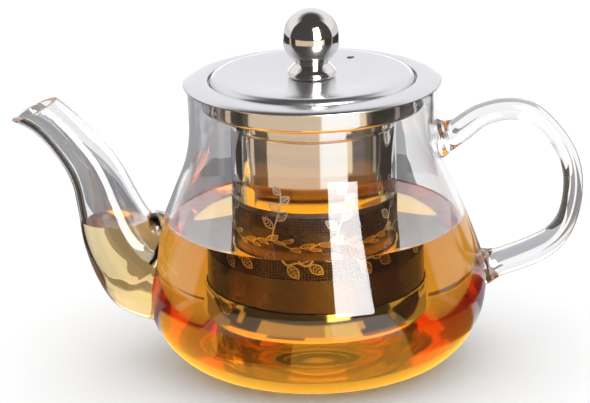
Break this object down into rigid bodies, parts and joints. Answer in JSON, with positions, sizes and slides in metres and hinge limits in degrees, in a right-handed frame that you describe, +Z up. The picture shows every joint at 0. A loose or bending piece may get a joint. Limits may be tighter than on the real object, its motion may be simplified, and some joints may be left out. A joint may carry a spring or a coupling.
{
  "type": "glass teapot with infuser",
  "caption": "Round-bellied glass teapot with a curved spout and a bent glass handle, a lift-out stainless steel infuser and a flat steel lid with a ball knob.",
  "frame": {"origin": "middle of the flat base that the pot stands on, on the pot's axis", "axes": "+Z up, the spout towards -X, the handle towards +X"},
  "size_m": [0.1882, 0.1134, 0.1202],
  "materials": {
    "clear_glass": "clear borosilicate glass, flame-polished",
    "satin_steel": "fine satin stainless steel",
    "polished_steel": "mirror-polished stainless steel",
    "etched_steel": "thin stainless sheet pierced with fine etched holes"
  },
  "bodies": {
    "pot": {"glass_body": "clear_glass", "glass_spout": "clear_glass", "glass_handle": "clear_glass"},
    "infuser": {"infuser_flange": "satin_steel", "infuser_collar": "polished_steel", "infuser_sleeve": "polished_steel", "infuser_strainer": "etched_steel", "infuser_base_ring": "polished_steel", "infuser_floor": "etched_steel"},
    "lid": {"lid_cover": "satin_steel", "lid_liner": "satin_steel", "knob_ball": "polished_steel", "knob_foot": "polished_steel", "knob_screw": "polished_steel", "knob_washer": "polished_steel"}
  },
  "joints": [
    {"name": "infuser_lift", "type": "slide", "parent": "pot", "child": "infuser", "axis": [0, 0, 1], "range_m": [0, 0.1]},
    {"name": "lid_lift", "type": "slide", "parent": "infuser", "child": "lid", "axis": [0, 0, 1], "range_m": [0, 0.05]}
  ]
}
